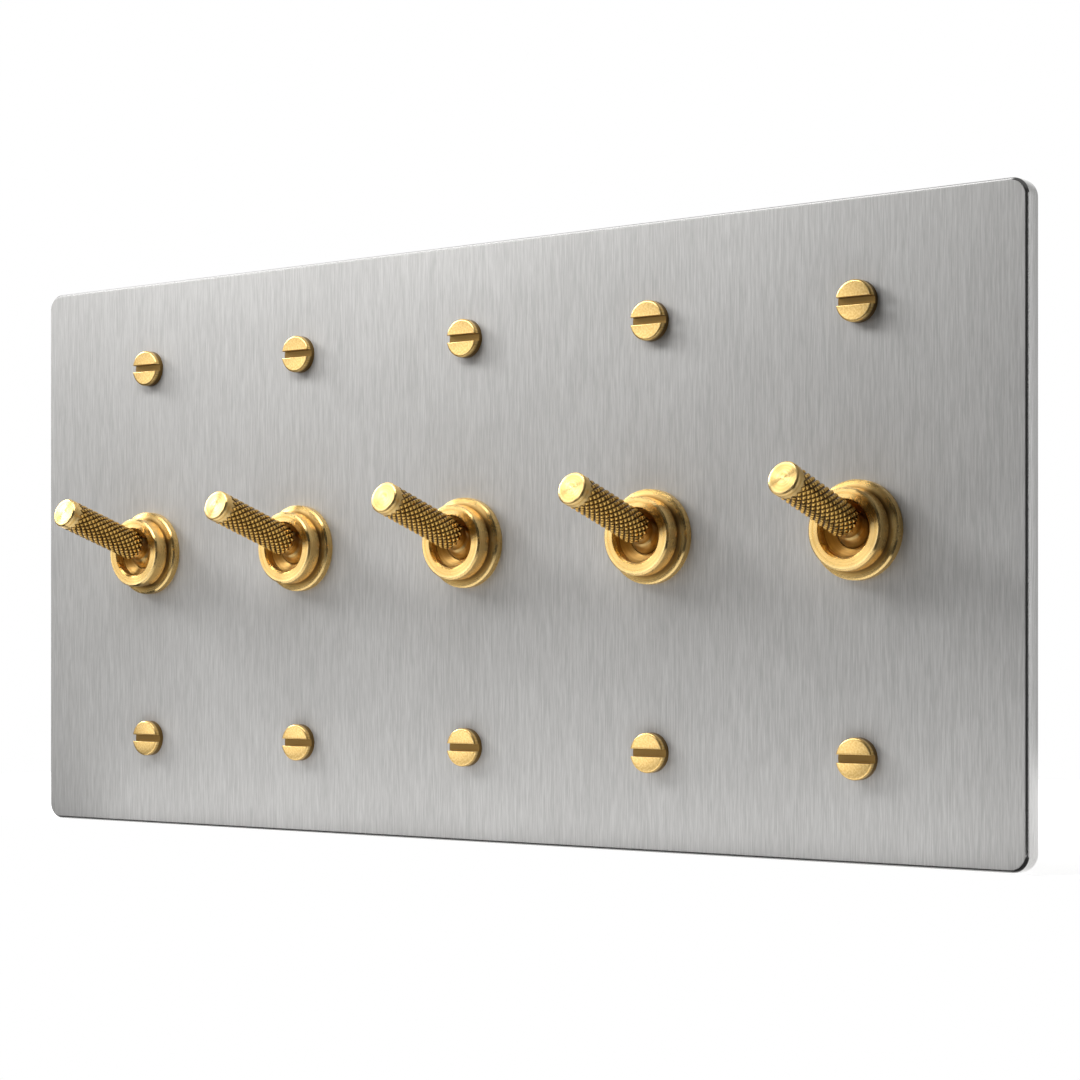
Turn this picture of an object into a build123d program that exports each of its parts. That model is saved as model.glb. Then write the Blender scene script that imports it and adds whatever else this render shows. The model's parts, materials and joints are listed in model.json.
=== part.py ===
from build123d import *
import os
from math import cos, pi, radians, sin, sqrt, tan

# A five-gang toggle light switch: X runs along the plate, Y into the wall, Z up.
# The origin is the centre of the plate's back face. Lengths are millimetres, angles degrees.

# Face plate
plate_width = 252.0
plate_height = 122.0
plate_thickness = 4.0
plate_corner_radius = 3.5
plate_edge_bevel = 0.7
gang_count = 5
gang_pitch = 46.04
lug_pitch = 83.3

# Slotted screws that hold the plate to the wall box
screw_head_radius = 3.9
screw_head_height = 2.1
screw_head_rounding = 0.35
screw_slot_width = 1.5
screw_slot_depth = 1.2
screw_neck_radius = 1.45
screw_thread_radius = 1.75
screw_reach = 15.0
screw_point = 0.5
screw_hole_clearance = 0.3

# Lever, measured along its axis from the pivot
lever_tilt = 18.0
lever_reach = 26.5
pivot_height = 0.8
ball_radius = 3.6
grip_radius = 3.25
grip_start = 4.6
grip_taper = 0.6
knurl_depth = 0.4
knurl_count = 16
knurl_rows = 12
collar_radius = 3.2
collar_length = 2.0
collar_edge = 0.4
tail_radius = 1.6
tail_reach = 11.5
spring_hole_radius = 1.0
spring_hole_end = 4.0

# Pivot pin
pin_radius = 0.8
pin_inset = 0.15

# Bezel, a dress nut turned in two tiers
ring_face_width = 2.4
flange_step = 1.6
flange_height = 2.2
flange_fall = 0.35
bezel_height = 5.6
bezel_edge = 0.35
mouth_bevel = 0.4
mouth_depth = 1.9
foot_groove_width = 0.25
foot_groove_depth = 0.2

# Bushing, washer and nut
ball_catch = 0.15
bush_wall = 0.6
bush_shoulder = 0.4
swage_lip = 0.5
swage_height = 0.4
washer_thickness = 0.6
washer_rim = 2.0
washer_teeth = 10
washer_tooth_gap = 1.2
nut_height = 2.4
nut_across_flats = 16.0
nut_corner_cut = 0.6

# Folded frame and moulded base
frame_gap = 0.2
sheet = 1.0
sheet_bend = 0.6
crimp_width = 6.0
crimp_reach = 1.95
base_width = 18.0
base_side_wall = 1.8
base_end_wall = 2.3
base_floor = 5.0
base_corner_radius = 1.5
base_front_chamfer = 0.8
base_ledge = 1.1
ledge_depth = 8.8
barrier_width = 1.0
barrier_height = 3.2

# Plunger and spring in the lever's tail
plunger_reach = 15.0
plunger_length = 6.8
spring_wire_radius = 0.17
spring_turns = 4

# Rocker
rocker_swing = 9.0
rocker_gap = 0.2
rocker_rise = 1.3
rocker_thickness = 1.0
rocker_width = 4.6
rocker_wing = 4.4
rocker_half_length = 7.7
trunnion_radius = 0.8
contact_place = 6.2
contact_radius = 1.2
contact_height = 0.7
contact_rounding = 0.6

# Terminals
strip = 0.8
strip_width = 5.0
strip_bend = 0.3
contact_gap = 0.2
leaf_inner = 4.6
leg_outer = 11.0
tab_inner = 5.7
throw_screw_place = 8.2
cradle_half_width = 2.6
cradle_lip = 1.4
cradle_floor = 3.3
terminal_thread_radius = 1.5
terminal_thread_length = 4.0
terminal_head_radius = 2.4
terminal_head_height = 1.6
terminal_slot_width = 0.8
terminal_slot_depth = 0.8

# Clearances
running_clearance = 0.05
drive_clearance = 0.02
thread_clearance = 0.1
seat_clearance = 0.25
ball_clearance = 0.15
swing_clearance = 0.35
slip_clearance = 0.1

# Depths along Y
plate_front = -plate_thickness
pivot_y = plate_front - pivot_height
bezel_front = plate_front - bezel_height
lip_back = bezel_front + mouth_depth
bush_front = lip_back + slip_clearance
nut_front = washer_thickness
frame_front = nut_front + nut_height + frame_gap
base_front = frame_front + sheet
bush_back = base_front + swage_height
rocker_y = pivot_y + plunger_reach + rocker_gap + rocker_rise
floor_front = rocker_y + cradle_floor
base_back = floor_front + base_floor
ledge_y = base_front + ledge_depth
tab_back = base_back + strip

# Radii that follow from the lever's swing
tilt = radians(lever_tilt)
swing = radians(rocker_swing)
mouth_level = bezel_height - mouth_bevel - pivot_height
mouth_radius = mouth_level * tan(tilt) + grip_radius / cos(tilt) + swing_clearance
ring_radius = mouth_radius + ring_face_width
flange_radius = ring_radius + flange_step
catch_radius = ball_radius - ball_catch
catch_level = sqrt((ball_radius + ball_clearance) ** 2 - catch_radius**2)
neck_radius = (catch_radius - swing_clearance - catch_level * tan(tilt)) * cos(tilt)
seat_radius = ball_radius + seat_clearance
tail_bore_radius = (bush_back - pivot_y) * tan(tilt) + tail_radius / cos(tilt) + seat_clearance
spigot_radius = tail_bore_radius + bush_wall
bush_radius = spigot_radius + bush_shoulder
bush_bore_radius = bush_radius + thread_clearance
grip_core = (grip_radius - knurl_depth) * cos(pi / knurl_count) - drive_clearance
collar_start = lever_reach - collar_length

# Path of the plunger's rounded tip as the rocker sees it
plunger_radius = spring_hole_radius - running_clearance
tip_arm = plunger_reach - plunger_radius
tip_depth = rocker_y - pivot_y - tip_arm * cos(tilt)
tip_side = tip_arm * sin(tilt)
end_rise = tip_depth * cos(swing) + tip_side * sin(swing)
end_side = tip_side * cos(swing) - tip_depth * sin(swing)
path_sag = end_rise - (rocker_y - pivot_y - tip_arm)
path_radius = (end_side**2 + path_sag**2) / (2 * path_sag)
cradle_radius = path_radius + plunger_radius + rocker_gap

gang_x = [gang_pitch * (gang - (gang_count - 1) / 2) for gang in range(gang_count)]
toggle_axis = Axis((0, 0, 0), (0, 1, 0))
lever_way = Vector(0, -cos(tilt), sin(tilt))
lever_axis = Axis((0, pivot_y, 0), lever_way)
lever_side = Plane((0, pivot_y, 0), x_dir=(1, 0, 0), z_dir=(0, -sin(tilt), -cos(tilt)))
lever_end = Plane((0, pivot_y, 0), x_dir=(1, 0, 0), z_dir=lever_way)
rocker_side = Plane((0, rocker_y, 0), x_dir=(0, -sin(swing), cos(swing)), z_dir=(1, 0, 0))
switch_side = Plane((0, 0, 0), x_dir=(0, 0, 1), z_dir=(-1, 0, 0))


def across(depth):
    return Plane.XZ.offset(-depth)


def save(piece, name):
    piece.label = name
    export_step(piece, f"parts/{name}.step")


os.makedirs("parts", exist_ok=True)

# Face plate
with BuildPart() as face_plate:
    with BuildSketch(across(0)):
        RectangleRounded(plate_width, plate_height, plate_corner_radius)
        with GridLocations(gang_pitch, 0, gang_count, 1):
            Circle(bush_radius + slip_clearance, mode=Mode.SUBTRACT)
        with GridLocations(gang_pitch, lug_pitch, gang_count, 2):
            Circle(screw_thread_radius + screw_hole_clearance, mode=Mode.SUBTRACT)
    extrude(amount=plate_thickness)
    chamfer(face_plate.faces().sort_by(Axis.Y)[0].outer_wire().edges(), plate_edge_bevel)
save(face_plate.part, "face_plate")

# Plate screws: slotted flat head, plain neck in the plate, thread from its back face on
with BuildPart() as plate_screw:
    with BuildSketch(Plane.XY):
        with BuildLine():
            head_top = plate_front - screw_head_height
            Polyline(
                (0, head_top),
                (screw_head_radius - screw_head_rounding, head_top),
            )
            RadiusArc(
                (screw_head_radius - screw_head_rounding, head_top),
                (screw_head_radius, head_top + screw_head_rounding),
                -screw_head_rounding,
            )
            Polyline(
                (screw_head_radius, head_top + screw_head_rounding),
                (screw_head_radius, plate_front),
                (screw_neck_radius, plate_front),
                (screw_neck_radius, -screw_point),
                (screw_thread_radius, 0),
                (screw_thread_radius, screw_reach - screw_point),
                (screw_thread_radius - screw_point, screw_reach),
                (0, screw_reach),
                (0, head_top),
            )
        make_face()
    revolve(axis=toggle_axis)
    with BuildSketch(across(head_top)):
        Rectangle(2 * screw_head_radius, screw_slot_width)
    extrude(amount=-screw_slot_depth, mode=Mode.SUBTRACT)
with BuildPart() as plate_screws:
    with Locations(*[(x, 0, side * lug_pitch / 2) for x in gang_x for side in (-1, 1)]):
        add(plate_screw.part)
save(plate_screws.part, "plate_screws")

# Bezel: wide foot, relief groove, ring with a bevelled mouth, thread bore behind the lip
with BuildPart() as bezel:
    with BuildSketch(Plane.XY):
        with BuildLine():
            flange_front = plate_front - flange_height
            Polyline(
                (bush_bore_radius, plate_front),
                (flange_radius, plate_front),
                (flange_radius, flange_front + flange_fall + bezel_edge),
                (flange_radius - bezel_edge, flange_front + flange_fall),
                (ring_radius - foot_groove_depth, flange_front),
                (ring_radius - foot_groove_depth, flange_front - foot_groove_width),
                (ring_radius, flange_front - foot_groove_width),
                (ring_radius, bezel_front + bezel_edge),
                (ring_radius - bezel_edge, bezel_front),
                (mouth_radius + mouth_bevel, bezel_front),
                (mouth_radius, bezel_front + mouth_bevel),
                (mouth_radius, lip_back),
                (bush_bore_radius, lip_back),
                (bush_bore_radius, plate_front),
            )
        make_face()
    revolve(axis=toggle_axis)

# Bushing: dish around the ball, seat behind it, flared bore for the swinging tail, swaged end
with BuildPart() as bushing:
    with BuildSketch(Plane.XY):
        with BuildLine():
            dish_rim = (mouth_radius, bush_front)
            dish_edge = (catch_radius, pivot_y - catch_level)
            seat_end = (seat_radius, pivot_y + ball_radius)
            RadiusArc(dish_rim, dish_edge, -2 * ball_radius)
            Polyline(
                dish_edge,
                (seat_radius, pivot_y - catch_level + seat_radius - catch_radius),
                seat_end,
                (tail_bore_radius, bush_back),
                (spigot_radius + swage_lip, bush_back),
                (spigot_radius + swage_lip, base_front),
                (spigot_radius, base_front),
                (spigot_radius, frame_front),
                (bush_radius, frame_front),
                (bush_radius, bush_front),
                dish_rim,
            )
        make_face()
    revolve(axis=toggle_axis)
    with BuildSketch(Plane.YZ):
        with Locations((pivot_y, 0)):
            Circle(pin_radius + drive_clearance)
    extrude(amount=bush_radius, both=True, mode=Mode.SUBTRACT)

# Pivot pins
with BuildPart() as pivot_pin:
    with BuildSketch(Plane.YZ):
        with Locations((pivot_y, 0)):
            Circle(pin_radius)
    extrude(amount=bush_radius - pin_inset, both=True)


def knurl_point(turn, row):
    raised = (turn + row) % 2 == 1
    radius = grip_radius if raised else grip_radius - knurl_depth
    angle = pi * turn / knurl_count
    station = grip_start + row * (collar_start - grip_start) / (2 * knurl_rows)
    return lever_end.from_local_coords((radius * cos(angle), radius * sin(angle), station))


def knurl_grip():
    turns, rows = 2 * knurl_count, 2 * knurl_rows
    corners = []
    for row in range(1, rows):
        for turn in range((row + 1) % 2, turns, 2):
            ring = [(turn + 1, row), (turn, row + 1), (turn - 1, row), (turn, row - 1)]
            for start, end in zip(ring, ring[1:] + ring[:1]):
                corners.append([(turn, row), start, end])
    for turn in range(1, turns, 2):
        corners.append([(turn - 1, 0), (turn + 1, 0), (turn, 1)])
        corners.append([(turn + 1, rows), (turn - 1, rows), (turn, rows - 1)])
    corners.append([(turn, 0) for turn in range(0, turns, 2)])
    corners.append([(turn, rows) for turn in range(0, turns, 2)])
    faces = [Face(Wire.make_polygon([knurl_point(*corner) for corner in face])) for face in corners]
    return Solid(Shell(faces))


# Lever: tail, ball, neck, knurled grip and plain collar
with BuildPart() as lever:
    with BuildSketch(lever_side):
        with BuildLine():
            tail_root = (tail_radius, -sqrt(ball_radius**2 - tail_radius**2))
            neck_root = (neck_radius, sqrt(ball_radius**2 - neck_radius**2))
            ThreePointArc(tail_root, (ball_radius, 0), neck_root)
            Polyline(
                neck_root,
                (neck_radius, grip_start - grip_taper),
                (grip_core, grip_start),
                (grip_core, collar_start),
                (collar_radius, collar_start),
                (collar_radius, lever_reach - collar_edge),
                (collar_radius - collar_edge, lever_reach),
                (0, lever_reach),
                (0, -tail_reach),
                (tail_radius, -tail_reach),
                tail_root,
            )
        make_face()
    revolve(axis=lever_axis)
    add(knurl_grip())
    with BuildSketch(Plane.YZ):
        with Locations((pivot_y, 0)):
            Circle(pin_radius + running_clearance)
    extrude(amount=ball_radius, both=True, mode=Mode.SUBTRACT)
    with BuildSketch(lever_end.offset(-tail_reach)):
        Circle(spring_hole_radius)
    extrude(amount=tail_reach - spring_hole_end, mode=Mode.SUBTRACT)

# Plunger, rounded at the tip that presses on the rocker
with BuildPart() as plunger:
    with BuildSketch(lever_side):
        with BuildLine():
            plunger_top = plunger_length - plunger_reach
            shoulder = (plunger_radius, plunger_radius - plunger_reach)
            Polyline((0, -plunger_reach), (0, plunger_top), (plunger_radius, plunger_top), shoulder)
            RadiusArc(shoulder, (0, -plunger_reach), plunger_radius)
        make_face()
    revolve(axis=lever_axis)

# Detent spring between the bottom of the tail's hole and the plunger
spring_length = plunger_reach - plunger_length - spring_hole_end - 2 * spring_wire_radius
coil_radius = plunger_radius - spring_wire_radius - slip_clearance
spring_start = lever_end.offset(-spring_hole_end - spring_wire_radius - spring_length)
with BuildPart() as spring:
    with BuildLine() as coil:
        Helix(
            spring_length / spring_turns,
            spring_length,
            coil_radius,
            center=spring_start.origin,
            direction=lever_way,
        )
    with BuildSketch(Plane(coil.line @ 0, z_dir=coil.line % 0)):
        Circle(spring_wire_radius)
    sweep(path=coil.line, is_frenet=True)

# Lock washers and nuts behind the plate
with BuildPart() as lock_washer:
    with BuildSketch(across(washer_thickness)):
        Circle(bush_bore_radius + washer_rim)
        Circle(bush_bore_radius, mode=Mode.SUBTRACT)
        with PolarLocations(bush_bore_radius, washer_teeth):
            Rectangle(washer_rim, washer_tooth_gap, mode=Mode.SUBTRACT)
    extrude(amount=washer_thickness)
with BuildPart() as lock_nut:
    with BuildSketch(across(nut_front + nut_height)):
        RegularPolygon(nut_across_flats / 2, 6, major_radius=False)
        Circle(bush_bore_radius, mode=Mode.SUBTRACT)
    extrude(amount=nut_height)
    with BuildSketch(Plane.XY):
        with BuildLine():
            nut_corner = nut_across_flats / 2 + nut_corner_cut
            Polyline(
                (0, nut_front),
                (nut_across_flats / 2, nut_front),
                (nut_corner, nut_front + nut_corner_cut),
                (nut_corner, nut_front + nut_height - nut_corner_cut),
                (nut_across_flats / 2, nut_front + nut_height),
                (0, nut_front + nut_height),
                (0, nut_front),
            )
        make_face()
    revolve(axis=toggle_axis, mode=Mode.INTERSECT)

# Moulded base: open front, ledges for the frame's crimps, barriers between the terminals
base_half_length = leg_outer + slip_clearance + base_end_wall
throw_hole = terminal_thread_radius + running_clearance
waist_width = base_width - 2 * base_ledge
cradle_x = rocker_width / 2 + 2 * rocker_gap
with BuildPart() as switch_base:
    with BuildSketch(across(ledge_y)):
        RectangleRounded(base_width, 2 * base_half_length, base_corner_radius)
    extrude(amount=ledge_depth)
    chamfer(switch_base.faces().sort_by(Axis.Y)[0].edges(), base_front_chamfer)
    with BuildSketch(across(base_back)):
        RectangleRounded(waist_width, 2 * base_half_length, base_corner_radius)
    extrude(amount=base_back - ledge_y)
    with BuildSketch(across(floor_front)):
        Rectangle(base_width - 2 * base_side_wall, 2 * (base_half_length - base_end_wall))
    extrude(amount=floor_front - base_front, mode=Mode.SUBTRACT)
    with BuildSketch(across(base_back)):
        with Locations((0, leg_outer - strip / 2), (0, strip / 2 - leg_outer)):
            Rectangle(strip_width + 2 * slip_clearance, strip + 2 * slip_clearance)
        with Locations((-cradle_x - strip / 2, 0)):
            Rectangle(strip + 2 * slip_clearance, 2 * (cradle_half_width + slip_clearance))
    extrude(amount=base_floor, mode=Mode.SUBTRACT)
    with BuildSketch(across(base_back)):
        with GridLocations(0, throw_screw_place, 1, 3):
            Circle(throw_hole)
    extrude(amount=terminal_thread_length, mode=Mode.SUBTRACT)
    with BuildSketch(across(base_back)):
        barrier_place = (tab_inner + cradle_half_width) / 2
        with GridLocations(0, 2 * barrier_place, 1, 2):
            Rectangle(waist_width - 2 * base_corner_radius, barrier_width)
    extrude(amount=-barrier_height)

# Frame: one folded sheet round the base, swaged to the bushing and crimped under the ledges
frame_inner = base_width / 2 + slip_clearance
frame_outer = frame_inner + sheet
with BuildPart() as frame_cover:
    with BuildSketch(Plane.XY):
        with BuildLine():
            Polyline(
                (-frame_outer, ledge_y),
                (-frame_outer, frame_front),
                (frame_outer, frame_front),
                (frame_outer, ledge_y),
                (frame_inner, ledge_y),
                (frame_inner, base_front),
                (-frame_inner, base_front),
                (-frame_inner, ledge_y),
                close=True,
            )
        make_face()
    extrude(amount=base_half_length, both=True)
    bends = frame_cover.edges().filter_by(Axis.Z)
    fillet(bends.group_by(Axis.Y)[0], sheet_bend + sheet)
    inner_bends = frame_cover.edges().filter_by(Axis.Z).filter_by(
        lambda edge: abs(edge.center().Y - base_front) < sheet / 10
    )
    fillet(inner_bends, sheet_bend)
    with BuildSketch(across(base_front)):
        Circle(spigot_radius + drive_clearance)
    extrude(amount=sheet, mode=Mode.SUBTRACT)
    with BuildSketch(across(ledge_y + sheet)):
        with GridLocations(2 * frame_outer - crimp_reach, 0, 2, 1):
            Rectangle(crimp_reach, crimp_width)
    extrude(amount=sheet)

# Contact rivet, domed so that a tilted contact still meets a flat one
def contact_rivet(seat):
    with BuildPart() as rivet:
        with BuildSketch(seat):
            Circle(contact_radius)
        extrude(amount=contact_height)
        fillet(rivet.edges().group_by(Axis(seat.origin, seat.z_dir))[-1], contact_rounding)
    return rivet.part


# Rocker: blade dished to the plunger's path, flat wings with contact rivets, round trunnions
wing_level = rocker_rise + cradle_radius - sqrt(cradle_radius**2 - rocker_wing**2)
under_level = wing_level - rocker_thickness
under_radius = cradle_radius + rocker_thickness
under_wing = sqrt(under_radius**2 - (rocker_rise + cradle_radius - under_level) ** 2)
trunnion_end = cradle_x + strip + running_clearance
moving_contacts = []
for side in (-1, 1):
    seat = rocker_side.from_local_coords((side * contact_place, under_level, 0))
    moving_contacts.append(contact_rivet(Plane(seat, x_dir=(1, 0, 0), z_dir=-rocker_side.y_dir)))
with BuildPart() as rocker:
    with BuildSketch(rocker_side):
        with BuildLine():
            ThreePointArc((-rocker_wing, wing_level), (0, rocker_rise), (rocker_wing, wing_level))
            Polyline(
                (rocker_wing, wing_level),
                (rocker_half_length, wing_level),
                (rocker_half_length, under_level),
                (under_wing, under_level),
            )
            ThreePointArc(
                (under_wing, under_level),
                (0, rocker_rise - rocker_thickness),
                (-under_wing, under_level),
            )
            Polyline(
                (-under_wing, under_level),
                (-rocker_half_length, under_level),
                (-rocker_half_length, wing_level),
                (-rocker_wing, wing_level),
            )
        make_face()
    extrude(amount=rocker_width / 2, both=True)
    with BuildSketch(rocker_side):
        Circle(trunnion_radius)
    extrude(amount=trunnion_end, both=True)
    add(moving_contacts)

# Fixed contacts lie under the rocker's rivets when that side is pressed in
pressed_y = contact_place * sin(swing) - (under_level - contact_height) * cos(swing)
pressed_z = contact_place * cos(swing) + (under_level - contact_height) * sin(swing)
contact_face = rocker_y + pressed_y + contact_gap
leaf_front = contact_face + contact_height
fixed_contact = contact_rivet(
    Plane((0, leaf_front, pressed_z), x_dir=(1, 0, 0), z_dir=(0, -1, 0))
)

# Throw terminals: contact leaf, leg through the floor, tab on the back
with BuildPart() as throw_terminal:
    with BuildSketch(switch_side):
        with BuildLine():
            FilletPolyline(
                (leaf_inner, leaf_front),
                (leg_outer, leaf_front),
                (leg_outer, tab_back),
                (tab_inner, tab_back),
                (tab_inner, base_back),
                (leg_outer - strip, base_back),
                (leg_outer - strip, leaf_front + strip),
                (leaf_inner, leaf_front + strip),
                radius=[strip_bend] * 5 + [slip_clearance] * 2 + [strip_bend],
                close=True,
            )
        make_face()
    extrude(amount=strip_width / 2, both=True)
    add(fixed_contact)
    with BuildSketch(across(tab_back)):
        with Locations((0, throw_screw_place)):
            Circle(throw_hole)
    extrude(amount=strip, mode=Mode.SUBTRACT)
with BuildPart() as throw_terminals:
    add(throw_terminal.part)
    mirror(throw_terminal.part, about=Plane.XY)

# Common terminal: cradle for the trunnions, one leg through the floor, tab on the back
with BuildPart() as common_terminal:
    with BuildSketch(Plane.XY):
        with BuildLine():
            cradle_top = rocker_y - cradle_lip
            cradle_outer = cradle_x + strip
            tab_end = terminal_head_radius
            Polyline(
                (-cradle_outer, cradle_top),
                (-cradle_x, cradle_top),
                (-cradle_x, floor_front - strip),
                (cradle_x, floor_front - strip),
                (cradle_x, cradle_top),
                (cradle_outer, cradle_top),
                (cradle_outer, floor_front),
                (-cradle_x, floor_front),
                (-cradle_x, base_back),
                (tab_end, base_back),
                (tab_end, tab_back),
                (-cradle_outer, tab_back),
                close=True,
            )
        make_face()
    extrude(amount=cradle_half_width, both=True)
    notch = trunnion_radius + running_clearance
    with BuildSketch(Plane.YZ):
        with Locations((rocker_y, 0)):
            Circle(notch)
        with Locations((rocker_y - cradle_lip / 2, 0)):
            Rectangle(cradle_lip, 2 * notch)
    extrude(amount=cradle_outer, both=True, mode=Mode.SUBTRACT)
    with BuildSketch(across(tab_back)):
        Circle(throw_hole)
    extrude(amount=strip, mode=Mode.SUBTRACT)

# Terminal screws
with BuildPart() as terminal_screw:
    with BuildSketch(across(tab_back)):
        Circle(terminal_head_radius)
    extrude(amount=-terminal_head_height)
    with BuildSketch(across(tab_back)):
        Circle(terminal_thread_radius)
    extrude(amount=terminal_thread_length)
    with BuildSketch(across(tab_back + terminal_head_height)):
        Rectangle(2 * terminal_head_radius, terminal_slot_width)
    extrude(amount=terminal_slot_depth, mode=Mode.SUBTRACT)

groups = {
    "pivot_pins": (pivot_pin.part, [0]),
    "lock_washers": (lock_washer.part, [0]),
    "lock_nuts": (lock_nut.part, [0]),
    "terminal_screws": (terminal_screw.part, [-throw_screw_place, 0, throw_screw_place]),
}
for name, (piece, heights) in groups.items():
    with BuildPart() as group:
        with Locations(*[(x, 0, height) for x in gang_x for height in heights]):
            add(piece)
    save(group.part, name)

gang_pieces = {
    "lever": lever.part,
    "bezel": bezel.part,
    "bushing": bushing.part,
    "plunger": plunger.part,
    "spring": spring.part,
    "frame_cover": frame_cover.part,
    "switch_base": switch_base.part,
    "rocker": rocker.part,
    "common_terminal": common_terminal.part,
    "throw_terminals": throw_terminals.part,
}
for number, x in enumerate(gang_x, start=1):
    for name, piece in gang_pieces.items():
        save(Pos(x, 0, 0) * piece, f"{name}_{number}")
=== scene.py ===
import bpy
import bmesh
import json
from math import asin, atan2, ceil, cos, hypot, pi, radians, sin, sqrt, tan
from mathutils import Matrix, Vector


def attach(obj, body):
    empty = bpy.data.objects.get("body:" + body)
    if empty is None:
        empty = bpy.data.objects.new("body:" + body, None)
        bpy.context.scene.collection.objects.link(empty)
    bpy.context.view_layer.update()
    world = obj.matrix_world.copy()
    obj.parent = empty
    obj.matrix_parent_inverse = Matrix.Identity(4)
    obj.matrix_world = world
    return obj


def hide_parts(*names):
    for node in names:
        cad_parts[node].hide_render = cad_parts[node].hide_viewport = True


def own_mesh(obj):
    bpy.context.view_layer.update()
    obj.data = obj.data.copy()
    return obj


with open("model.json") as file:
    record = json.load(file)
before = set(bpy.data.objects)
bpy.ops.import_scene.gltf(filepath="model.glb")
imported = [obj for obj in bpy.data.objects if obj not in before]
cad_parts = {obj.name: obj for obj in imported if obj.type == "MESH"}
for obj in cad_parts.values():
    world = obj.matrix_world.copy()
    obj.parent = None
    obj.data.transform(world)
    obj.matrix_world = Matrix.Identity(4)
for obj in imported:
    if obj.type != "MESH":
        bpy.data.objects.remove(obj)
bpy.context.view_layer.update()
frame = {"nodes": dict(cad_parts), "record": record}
nodes = frame["nodes"]
scene = bpy.context.scene
# lengths in the dictionaries of pieces are millimetres, creases are degrees
mm = 0.001
tiny = 1e-6
turnedCrease = 32
gangs, gangPitch = 5, 46.04
gangX = [gangPitch * (gang - (gangs - 1) / 2) for gang in range(gangs)]
print("frame loaded:", len(nodes), "nodes")


def linkPiece(name, mesh):
    piece = bpy.data.objects.new(name, mesh)
    scene.collection.objects.link(piece)
    return piece


def keepMesh(name, bm, crease=0):
    # turns finished bmesh data into a mesh, smooth except at edges sharper than the crease
    mesh = bpy.data.meshes.new(name)
    bm.to_mesh(mesh)
    bm.free()
    if crease:
        mesh.shade_smooth()
        mesh.set_sharp_from_angle(angle=radians(crease))
    return mesh


def bridge(bm, one, two):
    # a band of faces between two closed rings of points
    for j in range(len(one)):
        k = (j + 1) % len(one)
        bm.faces.new((one[j], one[k], two[k], two[j]))


def softened(points, radii, steps=5, hold=0.3):
    # rounds the corners of a profile; radii holds one value per corner, 0 keeps it sharp;
    # hold sets how far beyond a rounding the next ring stands, which keeps flat faces flat in shading
    most, spare = 0.48, 0.2
    out = []
    for i, p in enumerate(points):
        r = radii[i]
        if r <= 0 or i in (0, len(points) - 1):
            out.append(p)
            continue
        corner = Vector(p)
        a, b = Vector(points[i - 1]) - corner, Vector(points[i + 1]) - corner
        la, lb = a.length, b.length
        a.normalize()
        b.normalize()
        half = a.angle(b) / 2
        reach = min(r / tan(half), most * la, most * lb)
        centre = corner + (a + b).normalized() * (reach * tan(half) / sin(half))
        start, end = corner + a * reach - centre, corner + b * reach - centre
        turn = start.angle_signed(end)
        if hold:
            out.append(tuple(corner + a * (reach + min(hold * reach, spare * (la / 2 - reach)))))
        for k in range(steps + 1):
            t = -turn * k / steps
            out.append((centre.x + start.x * cos(t) - start.y * sin(t),
                        centre.y + start.x * sin(t) + start.y * cos(t)))
        if hold:
            out.append(tuple(corner + b * (reach + min(hold * reach, spare * (lb / 2 - reach)))))
    return out


def turnedMesh(name, profile, segments, place, closed=False, radiusAt=None):
    # spins (radius, station) points round local Z; U runs along the profile and V round the axis
    bm = bmesh.new()
    uv = bm.loops.layers.uv.new("UVMap")
    rows, lengths, run = [], [], 0.0
    points = list(profile) + ([profile[0]] if closed else [])
    for i, (r, s) in enumerate(points):
        if i:
            run += hypot(r - points[i - 1][0], s - points[i - 1][1])
        lengths.append(run)
        if closed and i == len(points) - 1:
            rows.append(rows[0])
        elif r < tiny:
            rows.append([bm.verts.new(place @ (Vector((0, 0, s)) * mm))] * segments)
        else:
            ring = []
            for j in range(segments):
                a = 2 * pi * j / segments
                reach = radiusAt(r, s, a) if radiusAt else r
                ring.append(bm.verts.new(place @ (Vector((reach * cos(a), reach * sin(a), s)) * mm)))
            rows.append(ring)
    for i in range(len(rows) - 1):
        for j in range(segments):
            k = (j + 1) % segments
            corners = [(rows[i][j], i, j), (rows[i][k], i, j + 1),
                       (rows[i + 1][k], i + 1, j + 1), (rows[i + 1][j], i + 1, j)]
            kept = [c for n, c in enumerate(corners) if c[0] is not corners[n - 1][0]]
            if len(kept) < 3:
                continue
            face = bm.faces.new([c[0] for c in kept])
            for loop, c in zip(face.loops, kept):
                loop[uv].uv = (lengths[c[1]] * mm, c[2] / segments)
    bmesh.ops.recalc_face_normals(bm, faces=bm.faces)
    return keepMesh(name, bm, turnedCrease)


def setShadeDepth(mesh, depthAt):
    # says how deep each point lies in a slot or groove, for the painted shade there
    depths = [depthAt(point.co) for point in mesh.vertices]
    mesh.attributes.new("valley", "FLOAT", "POINT").data.foreach_set("value", depths)


def joinMeshes(name, meshes):
    bm = bmesh.new()
    for mesh in meshes:
        bm.from_mesh(mesh)
    return keepMesh(name, bm)


def alongY(x, z):
    # local Z points into the wall, from the plate's back face
    return Matrix(((1, 0, 0, x * mm), (0, 0, 1, 0), (0, -1, 0, z * mm), (0, 0, 0, 1)))


def finishPiece(name, mesh, material, slot, body, *replaced):
    mesh.materials.clear()
    mesh.materials.append(material)
    piece = linkPiece(name, mesh)
    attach(piece, body)
    if replaced:
        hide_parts(*replaced)
    return piece


# helpers for all node trees

def node(tree, kind, **settings):
    made = tree.nodes.new(kind)
    for key, value in settings.items():
        setattr(made, key, value)
    return made


def wire(tree, source, target):
    tree.links.new(source, target)


def feed(tree, socket, value):
    # an input takes either another node's output or a plain value
    if isinstance(value, bpy.types.NodeSocket):
        wire(tree, value, socket)
    else:
        socket.default_value = value


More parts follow.
